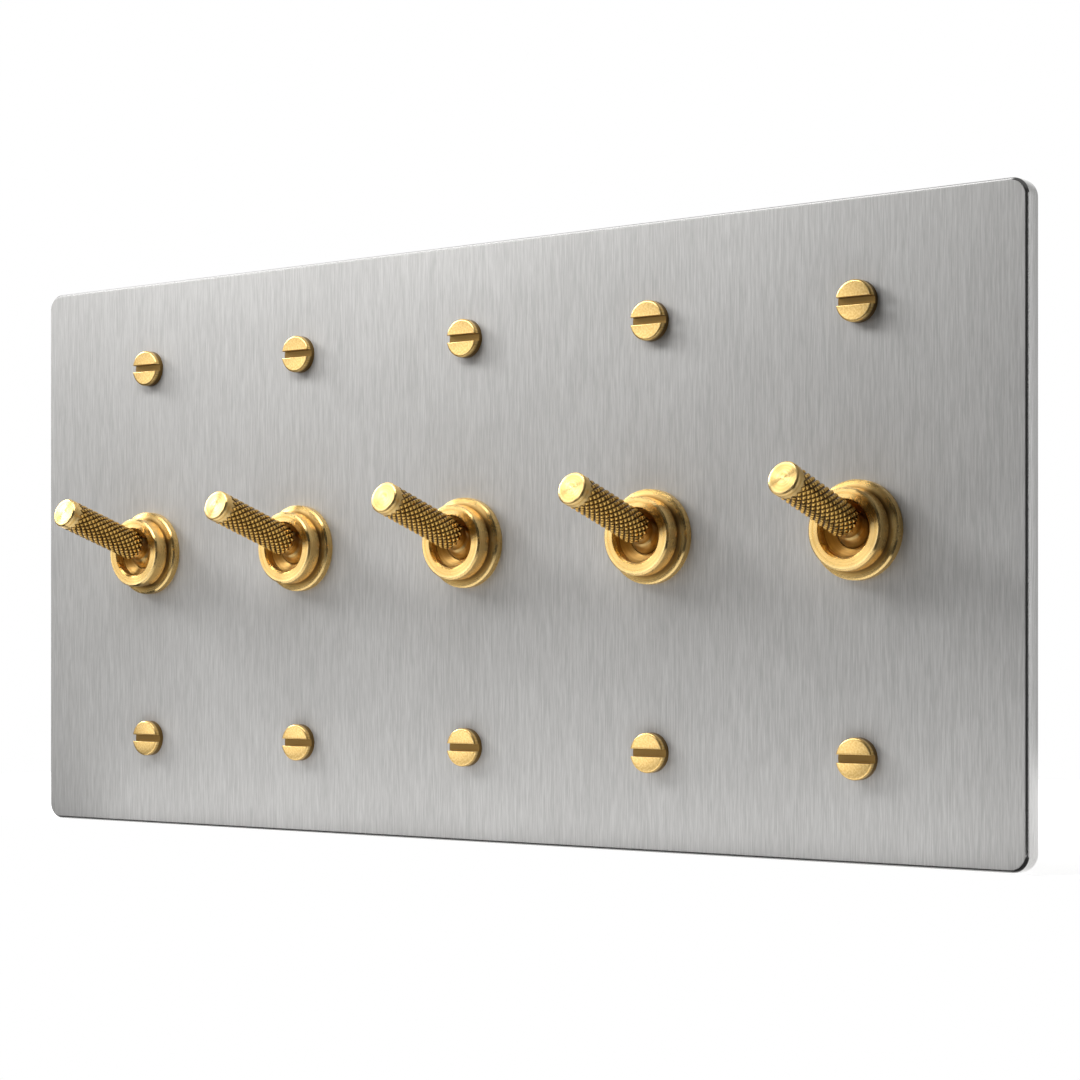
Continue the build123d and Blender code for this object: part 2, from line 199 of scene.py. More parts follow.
def mathNode(tree, operation, *values):
    made = node(tree, "ShaderNodeMath", operation=operation)
    for socket, value in zip(made.inputs, values):
        feed(tree, socket, value)
    return made.outputs[0]


def towards(tree, value, target, share):
    return mathNode(tree, "MULTIPLY_ADD", share, mathNode(tree, "SUBTRACT", target, value), value)


def spread(tree, value, low, high, toLow=0.0, toHigh=1.0):
    made = node(tree, "ShaderNodeMapRange", interpolation_type="SMOOTHSTEP")
    wire(tree, value, made.inputs["Value"])
    ends = (("From Min", low), ("From Max", high), ("To Min", toLow), ("To Max", toHigh))
    for label, number in ends:
        made.inputs[label].default_value = number
    return made.outputs["Result"]


def noiseNode(tree, vector, scale, detail, roughness):
    made = node(tree, "ShaderNodeTexNoise")
    wire(tree, vector, made.inputs["Vector"])
    feed(tree, made.inputs["Scale"], scale)
    made.inputs["Detail"].default_value = detail
    made.inputs["Roughness"].default_value = roughness
    return made.outputs["Fac"]


# helpers for Geometry Nodes: rows of points, with a copy of the host mesh on each

def startNodes(name, inputs):
    tree = bpy.data.node_groups.new(name, "GeometryNodeTree")
    for label, kind in inputs:
        tree.interface.new_socket(label, in_out="INPUT", socket_type="NodeSocket" + kind)
    tree.interface.new_socket("Geometry", in_out="OUTPUT", socket_type="NodeSocketGeometry")
    return tree, tree.nodes.new("NodeGroupInput").outputs


def rowPoints(tree, across, along):
    # the points, and each point's column and row
    points = node(tree, "GeometryNodePoints")
    wire(tree, mathNode(tree, "MULTIPLY", across, along), points.inputs["Count"])
    index = node(tree, "GeometryNodeInputIndex").outputs[0]
    row = mathNode(tree, "FLOOR", mathNode(tree, "DIVIDE", index, across))
    column = mathNode(tree, "SUBTRACT", index, mathNode(tree, "MULTIPLY", row, across))
    return points, column, row


def layCopies(tree, points, copy, finish, rotation=None, weld=0.0):
    laid = node(tree, "GeometryNodeInstanceOnPoints")
    wire(tree, points.outputs[0], laid.inputs["Points"])
    wire(tree, copy, laid.inputs["Instance"])
    if rotation is not None:
        wire(tree, rotation, laid.inputs["Rotation"])
    solid = node(tree, "GeometryNodeRealizeInstances")
    wire(tree, laid.outputs[0], solid.inputs[0])
    if weld:
        joined = node(tree, "GeometryNodeMergeByDistance")
        wire(tree, solid.outputs[0], joined.inputs["Geometry"])
        joined.inputs["Distance"].default_value = weld
        solid = joined
    coated = node(tree, "GeometryNodeSetMaterial")
    wire(tree, solid.outputs[0], coated.inputs["Geometry"])
    wire(tree, finish, coated.inputs["Material"])
    wire(tree, coated.outputs[0], tree.nodes.new("NodeGroupOutput").inputs[0])


def bakeNodes(name, host, tree, values):
    # runs a node tree on a host mesh and keeps the result as a plain mesh
    holder = linkPiece(name + "Host", host)
    modifier = holder.modifiers.new("build", "NODES")
    modifier.node_group = tree
    for item in tree.interface.items_tree:
        if item.item_type == "SOCKET" and item.in_out == "INPUT" and item.name in values:
            modifier[item.identifier] = values[item.name]
    seen = holder.evaluated_get(bpy.context.evaluated_depsgraph_get())
    made = bpy.data.meshes.new_from_object(seen)
    made.name = name
    holder.modifiers.remove(modifier)
    bpy.data.objects.remove(holder)
    return made


# shader groups

def newGroup(name, inputs, outputs):
    group = bpy.data.node_groups.new(name, "ShaderNodeTree")
    for label, kind, value in inputs:
        socket = group.interface.new_socket(label, in_out="INPUT", socket_type=kind)
        if value is not None:
            socket.default_value = value
    for label in outputs:
        group.interface.new_socket(label, in_out="OUTPUT", socket_type="NodeSocketFloat")
    return group, group.nodes.new("NodeGroupInput").outputs, group.nodes.new("NodeGroupOutput").inputs


# brushing: fine lines along one direction of a vector, with broader bands among them
brushing, given, result = newGroup(
    "brushing",
    [("Vector", "NodeSocketVector", None), ("Fine", "NodeSocketVector", (2600, 2600, 90)),
     ("Broad", "NodeSocketVector", (420, 420, 24))],
    ("Line", "Band"))
for label, output, detail in (("Fine", "Line", 3.0), ("Broad", "Band", 2.0)):
    stretched = node(brushing, "ShaderNodeVectorMath", operation="MULTIPLY")
    wire(brushing, given["Vector"], stretched.inputs[0])
    wire(brushing, given[label], stretched.inputs[1])
    wire(brushing, noiseNode(brushing, stretched.outputs[0], 1.0, detail, 0.6), result[output])

# handling: cloudy smudges and small dull specks, as handled metal and mouldings have
handling, given, result = newGroup(
    "handling",
    [("Vector", "NodeSocketVector", None), ("Size", "NodeSocketFloat", 120.0)],
    ("Smudge", "Speck"))
for output, finer, detail, low, high in (("Smudge", 1.0, 4.0, 0.35, 0.7), ("Speck", 14.0, 2.0, 0.56, 0.72)):
    scale = mathNode(handling, "MULTIPLY", given["Size"], finer)
    cloud = noiseNode(handling, given["Vector"], scale, detail, 0.5)
    wire(handling, spread(handling, cloud, low, high), result[output])
print("shader groups ready")


# materials

def startMaterial(name):
    material = bpy.data.materials.new(name)
    material.use_nodes = True
    tree = material.node_tree
    tree.nodes.clear()
    shader = node(tree, "ShaderNodeBsdfPrincipled")
    wire(tree, shader.outputs[0], node(tree, "ShaderNodeOutputMaterial").inputs["Surface"])
    return material, tree, shader.inputs


def colourBetween(tree, factor, first, second):
    # the colour sockets of a Mix node are known by number only
    made = node(tree, "ShaderNodeMix", data_type="RGBA")
    wire(tree, factor, made.inputs[0])
    for place, colour in ((6, first), (7, second)):
        feed(tree, made.inputs[place], (*colour, 1) if isinstance(colour, tuple) else colour)
    return made.outputs[2]


def placeGroup(tree, group, vector, **values):
    made = node(tree, "ShaderNodeGroup", node_tree=group)
    wire(tree, vector, made.inputs["Vector"])
    for label, value in values.items():
        made.inputs[label].default_value = value
    return made.outputs


def bumpFrom(tree, height, look, normal=None):
    made = node(tree, "ShaderNodeBump")
    made.inputs["Distance"].default_value = look["depth"]
    made.inputs["Strength"].default_value = look["bump"]
    wire(tree, height, made.inputs["Height"])
    if normal is not None:
        wire(tree, normal, made.inputs["Normal"])
    return made.outputs["Normal"]


def softEdge(tree, look):
    edge = node(tree, "ShaderNodeBevel", samples=4)
    edge.inputs["Radius"].default_value = look["edge"]
    return edge.outputs[0]


def brushAlongUv(tree, shader, look):
    shader["Anisotropic"].default_value = look["anisotropy"]
    tangent = node(tree, "ShaderNodeTangent", direction_type="UV_MAP", uv_map="UVMap")
    wire(tree, tangent.outputs[0], shader["Tangent"])


def swung(tree, value, look):
    # roughness, swinging evenly about its mean
    swing = look["roughSwing"]
    return mathNode(tree, "MULTIPLY_ADD", value, swing, look["rough"] - swing / 2)


def brushedSteel(name, look):
    material, tree, shader = startMaterial(name)
    place = node(tree, "ShaderNodeTexCoord").outputs["Object"]
    grain = placeGroup(tree, brushing, place, Fine=look["fine"], Broad=look["broad"])
    touch = placeGroup(tree, handling, place, Size=look["smudgeSize"])
    lines = mathNode(tree, "MULTIPLY", grain["Line"], 1 - look["bandShare"])
    mixed = mathNode(tree, "MULTIPLY_ADD", grain["Band"], look["bandShare"], lines)
    tone = spread(tree, mixed, *look["tone"])
    wire(tree, colourBetween(tree, tone, look["dark"], look["light"]), shader["Base Color"])
    rough = swung(tree, mixed, look)
    rough = mathNode(tree, "MULTIPLY_ADD", touch["Smudge"], look["smudge"], rough)
    # behind the brushed front face the rolled edge is smoother
    parts = node(tree, "ShaderNodeSeparateXYZ")
    wire(tree, place, parts.inputs[0])
    edge = spread(tree, parts.outputs["Y"], look["front"], look["front"] + look["roll"])
    wire(tree, towards(tree, rough, look["edgeRough"], edge), shader["Roughness"])
    wire(tree, bumpFrom(tree, grain["Line"], look), shader["Normal"])
    shader["Metallic"].default_value = 1.0
    brushAlongUv(tree, shader, look)
    return material


def turnedBrass(name, look):
    # lathe marks ring the axis on the piece's own UV map; wear and tarnish sit on Object coordinates
    material, tree, shader = startMaterial(name)
    coords = node(tree, "ShaderNodeTexCoord").outputs
    marks = placeGroup(tree, brushing, coords["UV"], Fine=look["fine"], Broad=look["broad"])
    touch = placeGroup(tree, handling, coords["Object"], Size=look["smudgeSize"])
    colour = colourBetween(tree, spread(tree, marks["Band"], *look["tone"]), look["dark"], look["light"])
    dulled = mathNode(tree, "MULTIPLY", touch["Speck"], look["tarnish"])
    colour = colourBetween(tree, dulled, colour, look["dull"])
    # points deep in slots, grooves and the knurl's valleys are painted darker, a painted shade
    depth = node(tree, "ShaderNodeAttribute", attribute_name="valley").outputs["Fac"]
    valley = spread(tree, depth, look["valleyFrom"], look["valleyTo"])
    paintedShade = mathNode(tree, "MULTIPLY", valley, look["shadeStrength"])
    wire(tree, colourBetween(tree, paintedShade, colour, look["paintedShade"]), shader["Base Color"])
    rough = swung(tree, marks["Line"], look)
    rough = mathNode(tree, "MULTIPLY_ADD", touch["Smudge"], look["smudge"], rough)
    wire(tree, mathNode(tree, "MULTIPLY_ADD", valley, look["valleyRough"], rough), shader["Roughness"])
    wire(tree, bumpFrom(tree, marks["Line"], look), shader["Normal"])
    shader["Metallic"].default_value = 1.0
    if look["anisotropy"]:
        brushAlongUv(tree, shader, look)
    return material


def plainMetal(name, look):
    # plated or stamped pieces behind the plate: soft edges, rolling lines and smudges
    material, tree, shader = startMaterial(name)
    smudgeShare = 0.6
    place = node(tree, "ShaderNodeTexCoord").outputs["Object"]
    grain = placeGroup(tree, brushing, place, Fine=look["fine"], Broad=look["broad"])
    touch = placeGroup(tree, handling, place, Size=look["smudgeSize"])
    bands = mathNode(tree, "MULTIPLY", grain["Band"], 1 - smudgeShare)
    tone = mathNode(tree, "MULTIPLY_ADD", touch["Smudge"], smudgeShare, bands)
    wire(tree, colourBetween(tree, tone, look["dark"], look["light"]), shader["Base Color"])
    rough = mathNode(tree, "MULTIPLY_ADD", touch["Smudge"], look["roughSwing"], look["rough"])
    wire(tree, rough, shader["Roughness"])
    wire(tree, bumpFrom(tree, grain["Line"], look, softEdge(tree, look)), shader["Normal"])
    shader["Metallic"].default_value = 1.0
    return material


def mouldedPlastic(name, look):
    material, tree, shader = startMaterial(name)
    place = node(tree, "ShaderNodeTexCoord").outputs["Object"]
    touch = placeGroup(tree, handling, place, Size=look["smudgeSize"])
    grain = noiseNode(tree, place, look["grainSize"], 3.0, 0.55)
    wire(tree, colourBetween(tree, touch["Smudge"], look["dark"], look["light"]), shader["Base Color"])
    rough = mathNode(tree, "MULTIPLY_ADD", touch["Speck"], look["roughSwing"], look["rough"])
    wire(tree, rough, shader["Roughness"])
    wire(tree, bumpFrom(tree, grain, look, softEdge(tree, look)), shader["Normal"])
    return material


plateLook = dict(
    dark=(0.52, 0.515, 0.506), light=(0.68, 0.675, 0.665), tone=(0.3, 0.7), bandShare=0.6,
    fine=(9000, 9000, 320), broad=(4600, 4600, 150), smudgeSize=24.0, smudge=0.03,
    rough=0.76, roughSwing=0.06, edgeRough=0.2, front=-0.00398, roll=0.00005,
    depth=0.00001, bump=0.2, anisotropy=0.3)
# paintedShade is the dark colour of the painted shade in slots, grooves and the knurl's valleys
brassTones = dict(
    dark=(0.74, 0.47, 0.15), light=(0.9, 0.65, 0.28), tone=(0.3, 0.7), dull=(0.45, 0.26, 0.07),
    paintedShade=(0.2, 0.095, 0.018), valleyFrom=0.2, valleyTo=0.95, shadeStrength=0.85, valleyRough=0.12,
    depth=0.00001, bump=0.15)
toggleLook = dict(
    brassTones, fine=(9000, 2, 1), broad=(1800, 1, 1), smudgeSize=400.0, smudge=0.04, tarnish=0.06,
    rough=0.28, roughSwing=0.08, anisotropy=0.9)
bezelLook = dict(toggleLook, smudgeSize=300.0, tarnish=0.05, rough=0.25)
# the knurl's brass is a little darker than the lever's, and its flanks are painted nearly black towards the roots:
# painted shade that leaves only the studs' tops bright
knurlLook = dict(
    toggleLook, dark=(0.7, 0.41, 0.09), light=(0.88, 0.58, 0.19), paintedShade=(0.06, 0.026, 0.004),
    valleyFrom=0.02, shadeStrength=1.0, tarnish=0.1, rough=0.16, roughSwing=0.04, anisotropy=0.0)
# the bushings' brass is painted much darker than the bezels': partly a duller unlacquered brass, mostly painted
# shade inside the bezel's mouth
shadedBushingLook = dict(
    bezelLook, dark=(0.36, 0.21, 0.06), light=(0.5, 0.32, 0.11), rough=0.34, anisotropy=0.5)
screwLook = dict(
    brassTones, paintedShade=(0.13, 0.07, 0.016), fine=(7000, 7000, 1), broad=(2600, 2600, 1),
    smudgeSize=420.0, smudge=0.03, tarnish=0.06, rough=0.3, roughSwing=0.06, anisotropy=0.0)
hardwareLook = dict(
    dark=(0.5, 0.49, 0.46), light=(0.68, 0.67, 0.65), fine=(1500, 1500, 1500), broad=(200, 200, 200),
    smudgeSize=260.0, rough=0.28, roughSwing=0.14, depth=0.00001, bump=0.2, edge=0.00018)
frameLook = dict(
    dark=(0.48, 0.48, 0.46), light=(0.62, 0.62, 0.61), fine=(2400, 300, 90), broad=(300, 60, 20),
    smudgeSize=180.0, rough=0.32, roughSwing=0.14, depth=0.00002, bump=0.25, edge=0.00025)
contactLook = dict(
    dark=(0.6, 0.38, 0.13), light=(0.8, 0.55, 0.22), fine=(1800, 300, 300), broad=(250, 60, 60),
    smudgeSize=320.0, rough=0.26, roughSwing=0.16, depth=0.00001, bump=0.2, edge=0.00015)
baseLook = dict(
    dark=(0.018, 0.016, 0.015), light=(0.035, 0.031, 0.028), smudgeSize=140.0, grainSize=3800.0,
    rough=0.42, roughSwing=0.15, depth=0.00003, bump=0.3, edge=0.0003)
plungerLook = dict(
    dark=(0.7, 0.67, 0.6), light=(0.82, 0.8, 0.74), smudgeSize=500.0, grainSize=5200.0,
    rough=0.4, roughSwing=0.1, depth=0.00001, bump=0.2, edge=0.0001)

plateSteel = brushedSteel("plateSteel", plateLook)
toggleBrass = turnedBrass("toggleBrass", toggleLook)
knurlBrass = turnedBrass("knurlBrass", knurlLook)
bezelBrass = turnedBrass("bezelBrass", bezelLook)
shadedBushingBrass = turnedBrass("shadedBushingBrass", shadedBushingLook)
screwBrass = turnedBrass("screwBrass", screwLook)
hardwareSteel = plainMetal("hardwareSteel", hardwareLook)
frameSteel = plainMetal("frameSteel", frameLook)
contactBrass = plainMetal("contactBrass", contactLook)
basePlastic = mouldedPlastic("basePlastic", baseLook)
plungerPlastic = mouldedPlastic("plungerPlastic", plungerLook)
slotMaterials = dict(
    plate_steel=plateSteel, toggle_brass=toggleBrass, bezel_brass=bezelBrass, screw_brass=screwBrass,
    hardware_steel=hardwareSteel, frame_steel=frameSteel, contact_brass=contactBrass,
    base_plastic=basePlastic, plunger_plastic=plungerPlastic)
for part in frame["record"]["subparts"]:
    mesh = nodes[part["node"]].data
    mesh.materials.clear()
    mesh.materials.append(slotMaterials[part["material_slot"]])
print("materials ready:", len(slotMaterials))


# face plate: rounded slab with a bevelled front edge and bored holes

plate = dict(width=252.0, height=122.0, thickness=4.0, corner=3.5, bevel=0.62, rim=0.3, ease=0.09,
             bulge=0.04, crown=0.05, backEdge=0.15, cornerSteps=14, crease=25,
             toggleHole=6.087, screwHole=2.05, lugPitch=83.3, holeSteps=48)


def plateOutline(inset):
    halfX, halfZ = plate["width"] / 2 - inset, plate["height"] / 2 - inset
    r, steps = plate["corner"] - inset, plate["cornerSteps"]
    ring = []
    for sx, sz, start in ((1, 1, 0), (-1, 1, 1), (-1, -1, 2), (1, -1, 3)):
        for k in range(steps + 1):
            a = (start + k / steps) * pi / 2
            ring.append((sx * (halfX - r) + r * cos(a), sz * (halfZ - r) + r * sin(a)))
    return ring


def plateLevels():
    # inset and depth of each ring, from the front face over the bevel to the back
    front, bevel, crown = -plate["thickness"], plate["bevel"], plate["crown"]
    section, radii = [(bevel + plate["rim"], front), (bevel, front)], [0, plate["ease"]]
    # bevel and edge are very slightly crowned
    for t in (0.25, 0.5, 0.75):
        swell = plate["bulge"] * 4 * t * (1 - t) * sqrt(0.5)
        section.append((bevel + (crown - bevel) * t - swell, front + bevel * t - swell))
        radii.append(0)
    for t in (-1.0, -0.5, 0.0, 0.5, 1.0):
        section.append((crown * t * t, front + bevel + (t + 1) / 2 * (-plate["backEdge"] - front - bevel)))
        radii.append(plate["ease"] if t == -1.0 else 0)
    return softened(section + [(plate["backEdge"], 0.0)], radii + [0], 4, hold=0)


def plateMesh():
    bm = bmesh.new()
    uv = bm.loops.layers.uv.new("UVMap")
    rings = [[bm.verts.new((x * mm, y * mm, z * mm)) for x, z in plateOutline(inset)]
             for inset, y in plateLevels()]
    for one, two in zip(rings, rings[1:]):
        bridge(bm, one, two)
    holes = [(x, 0.0, plate["toggleHole"]) for x in gangX]
    holes += [(x, side * plate["lugPitch"] / 2, plate["screwHole"]) for x in gangX for side in (-1, 1)]
    frontLoops, backLoops = [rings[0]], [rings[-1]]
    for x, z, r in holes:
        for loops, y in ((frontLoops, -plate["thickness"]), (backLoops, 0.0)):
            ring = []
            for k in range(plate["holeSteps"]):
                a = 2 * pi * k / plate["holeSteps"]
                ring.append(bm.verts.new(((x + r * cos(a)) * mm, y * mm, (z + r * sin(a)) * mm)))
            loops.append(ring)
        bridge(bm, backLoops[-1], frontLoops[-1])
    for loops in (frontLoops, backLoops):
        sides = [pair for ring in loops for pair in zip(ring, ring[1:] + ring[:1])]
        edges = [bm.edges.get(pair) or bm.edges.new(pair) for pair in sides]
        bmesh.ops.triangle_fill(bm, use_beauty=True, use_dissolve=False, edges=edges)
    bmesh.ops.recalc_face_normals(bm, faces=bm.faces)
    for face in bm.faces:
        for loop in face.loops:
            co = loop.vert.co
            loop[uv].uv = (co.x + co.y, co.z)
    return keepMesh("facePlate", bm, plate["crease"])


finishPiece("facePlate", plateMesh(), plateSteel, "plate_steel", "plate_body", "face_plate")
print("face plate made")


# levers: a turned blank, with the knurl laid on by nodes

lever = dict(tilt=18.0, pivot=-4.8, reach=26.5, ball=3.6, ballSteps=24, neck=2.49, neckSoft=0.25,
             gripStart=4.6, gripTaper=0.6, grip=3.23, valley=2.99, core=2.98, coreLead=0.1, coreLap=0.05,
             collar=3.2, collarStart=24.5, collarLead=0.1, collarSoft=0.12, collarEdge=0.48,
             tail=1.6, tailEnd=-11.5, springHole=1.0, springHoleEnd=-4.0,
             around=16, rows=23, segments=72)
rowStep = (lever["collarStart"] - lever["gripStart"]) / (lever["rows"] + 1)
# each ring of a stud: its share of the full diamond, and its share of the height
stud = dict(rings=((1.0, 0.0), (0.42, 0.86), (0.28, 1.0)), weld=0.002)


def studMesh():
    # one diamond of the knurl, a pyramid with a worn top, already bent round the lever's axis
    halfAngle = pi / lever["around"]
    bm = bmesh.new()
    uv = bm.loops.layers.uv.new("UVMap")
    depth = bm.verts.layers.float.new("valley")
    rings = []
    for reach, h in stud["rings"]:
        r = lever["valley"] + (lever["grip"] - lever["valley"]) * h
        ring = []
        for turn, along in ((0, 1), (1, 0), (0, -1), (-1, 0)):
            a, z = turn * reach * halfAngle, along * reach * rowStep
            point = bm.verts.new(Vector((r * cos(a), r * sin(a), z)) * mm)
            # each stud's flanks are marked darker towards the valleys, for the painted shade there
            point[depth] = 1 - h
            ring.append((point, z * mm, a / (2 * pi)))
        rings.append(ring)
    sides = [(one[j], one[(j + 1) % 4], two[(j + 1) % 4], two[j])
             for one, two in zip(rings, rings[1:]) for j in range(4)]
    for corners in sides + [rings[-1]]:
        face = bm.faces.new([c[0] for c in corners])
        for loop, c in zip(face.loops, corners):
            loop[uv].uv = (c[1], c[2])
    bm.normal_update()
    if sum(face.normal.x for face in bm.faces) < 0:
        bmesh.ops.reverse_faces(bm, faces=bm.faces)
    mesh = keepMesh("knurlStud", bm)
    mesh.shade_flat()
    return mesh


def knurlTree():
    tree, given = startNodes("knurlGrip", (
        ("Stud", "Geometry"), ("Around", "Int"), ("Rows", "Int"), ("Start", "Float"),
        ("Row Step", "Float"), ("Finish", "Material")))
    points, column, row = rowPoints(tree, given["Around"], given["Rows"])
    # every other row stands half a diamond further round
    shifted = mathNode(tree, "MULTIPLY_ADD", mathNode(tree, "MODULO", row, 2.0), 0.5, column)
    angle = mathNode(tree, "DIVIDE", mathNode(tree, "MULTIPLY", shifted, 2 * pi), given["Around"])
    station = mathNode(tree, "MULTIPLY_ADD", mathNode(tree, "ADD", row, 1.0), given["Row Step"], given["Start"])
    place = node(tree, "ShaderNodeCombineXYZ")
    wire(tree, station, place.inputs["Z"])
    wire(tree, place.outputs[0], points.inputs["Position"])
    turn = node(tree, "ShaderNodeCombineXYZ")
    wire(tree, angle, turn.inputs["Z"])
    spin = node(tree, "FunctionNodeEulerToRotation")
    wire(tree, turn.outputs[0], spin.inputs[0])
    layCopies(tree, points, given["Stud"], given["Finish"], spin.outputs[0], stud["weld"] * mm)
    return tree


def leverPlace(x):
    # local Z runs along the lever, from its pivot to its tip
    t = radians(lever["tilt"])
    return Matrix(((1, 0, 0, x * mm), (0, sin(t), -cos(t), lever["pivot"] * mm),
                   (0, cos(t), sin(t), 0), (0, 0, 0, 1)))


def leverBlank():
    v = lever
    ball, neck = v["ball"], v["neck"]
    profile = [(0, v["springHoleEnd"]), (v["springHole"], v["springHoleEnd"]),
               (v["springHole"], v["tailEnd"]), (v["tail"], v["tailEnd"])]
    first, last = asin(-sqrt(1 - (v["tail"] / ball) ** 2)), asin(sqrt(1 - (neck / ball) ** 2))
    for k in range(v["ballSteps"] + 1):
        a = first + (last - first) * k / v["ballSteps"]
        profile.append((ball * cos(a), ball * sin(a)))
    coreEnd = (v["core"], v["collarStart"] + v["coreLap"])
    foot = [(neck, ball * sin(last)), (neck, v["gripStart"] - v["gripTaper"]),
            (v["core"], v["gripStart"] - v["coreLead"]), coreEnd]
    profile += softened(foot, [0, v["neckSoft"], v["neckSoft"], 0])[1:]
    tip = [coreEnd, (v["collar"], v["collarStart"] + v["collarLead"]), (v["collar"], v["reach"]), (0, v["reach"])]
    profile += softened(tip, [0, v["collarSoft"], v["collarEdge"], 0], 6)[1:]
    return turnedMesh("leverBlank", profile, v["segments"], Matrix.Identity(4))


gripTree = knurlTree()
gripValues = {"Around": lever["around"], "Rows": lever["rows"], "Start": lever["gripStart"] * mm,
              "Row Step": rowStep * mm, "Finish": knurlBrass}
for number, x in enumerate(gangX, start=1):
    blank, grip = leverBlank(), bakeNodes("knurledGrip", studMesh(), gripTree, gripValues)
    blank.transform(leverPlace(x))
    grip.transform(leverPlace(x))
    body = f"lever_body_{number}"
    finishPiece(f"turnedLever_{number}", blank, toggleBrass, "toggle_brass", body, f"lever_{number}")
    finishPiece(f"knurledGrip_{number}", grip, knurlBrass, "toggle_brass", body)
print("levers made:", len(blank.polygons) + len(grip.polygons), "faces each")


# detent springs: coils with closed ends, built at one length, though in the switch they shorten as the plungers
# slide in

spring = dict(coil=0.68, wire=0.16, back=-8.18, front=-4.02, live=4, dead=1, deadPitch=0.36, travel=0.6,
              steps=20, sides=8, crease=60)


def springMesh():
    s = spring
    turns, rise = s["live"] + 2 * s["dead"], s["front"] - s["back"] - 2 * s["wire"]
    livePitch = (rise - 2 * s["dead"] * s["deadPitch"]) / s["live"]
    bm = bmesh.new()
    rings = []
    for k in range(turns * s["steps"] + 1):
        u = k / s["steps"]
        live = min(max(u - s["dead"], 0), s["live"])
        station = s["back"] + s["wire"] + livePitch * live + s["deadPitch"] * (u - live)
        ring = []
        for j in range(s["sides"]):
            bend = 2 * pi * j / s["sides"]
            r, z = s["coil"] + s["wire"] * cos(bend), station + s["wire"] * sin(bend)
            ring.append(bm.verts.new(Vector((r * cos(2 * pi * u), r * sin(2 * pi * u), z)) * mm))
        rings.append(ring)
    for one, two in zip(rings, rings[1:]):
        bridge(bm, one, two)
    bm.faces.new(rings[0])
    bm.faces.new(rings[-1])
    bmesh.ops.recalc_face_normals(bm, faces=bm.faces)
    return keepMesh("coiledSpring", bm, s["crease"])


for number, x in enumerate(gangX, start=1):
    coil, place = springMesh(), leverPlace(x)
    coil.transform(place)
    piece = finishPiece(f"coiledSpring_{number}", coil, hardwareSteel, "hardware_steel",
                        f"lever_body_{number}", f"spring_{number}")
    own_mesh(piece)
print("springs made:", len(coil.polygons), "faces each")


# bezels and bushings: turned profiles with broken edges

bezel = dict(foot=9.197, ring=7.597, mouth=5.197, bore=6.087, plateFront=-4.0, footFront=-6.2, footFall=0.35,
             front=-9.6, lipBack=-7.7, edge=0.34, mouthEdge=0.34, ease=0.07, backSoft=0.1,
             groove=0.25, grooveDepth=0.2, grooveSoft=(0.05, 0.04, 0.06), shadeMargin=0.06, wall=0.5, segments=128)
bushing = dict(outer=5.987, front=-7.6, mouth=5.197, catch=3.45, catchAt=-6.27, seat=3.85, seatEnd=-1.2,
               tailBore=4.987, back=4.6, spigot=5.587, lip=6.087, lipFront=4.2, shoulder=3.2,
               backSoft=0.1, lipSoft=0.12, dishRadius=7.2, dishSteps=10, segments=96)


def bezelMesh(x):
    b, e, ease = bezel, bezel["edge"], bezel["ease"]
    rim, grooveFront = b["footFront"] + b["footFall"], b["footFront"] - b["groove"]
    grooveFloor = b["ring"] - b["grooveDepth"]
    corners = [
        ((b["bore"], b["plateFront"]), 0), ((b["foot"], b["plateFront"]), b["backSoft"]),
        ((b["foot"], rim + e), ease), ((b["foot"] - e, rim), ease),
        ((grooveFloor, b["footFront"]), b["grooveSoft"][0]), ((grooveFloor, grooveFront), b["grooveSoft"][1]),
        ((b["ring"], grooveFront), b["grooveSoft"][2]),
        ((b["ring"], b["front"] + e), ease), ((b["ring"] - e, b["front"]), ease),
        ((b["mouth"] + b["mouthEdge"], b["front"]), ease), ((b["mouth"], b["front"] + b["mouthEdge"]), ease),
        ((b["mouth"], b["lipBack"]), b["backSoft"]), ((b["bore"], b["lipBack"]), 0),
        ((b["bore"], b["plateFront"]), 0),
    ]

    def inGroove(co):
        # the groove behind the ring is painted darker, a painted shade
        r, s = hypot(co.x / mm - x, co.z / mm), co.y / mm
        along = grooveFront - b["shadeMargin"] < s < b["footFront"] + b["shadeMargin"]
        return float(along and b["bore"] + b["wall"] < r < grooveFloor + b["shadeMargin"])

    profile = softened([c[0] for c in corners], [c[1] for c in corners], 4)
    mesh = turnedMesh("turnedBezel", profile[:-1], b["segments"], alongY(x, 0), closed=True)
    setShadeDepth(mesh, inGroove)
    return mesh


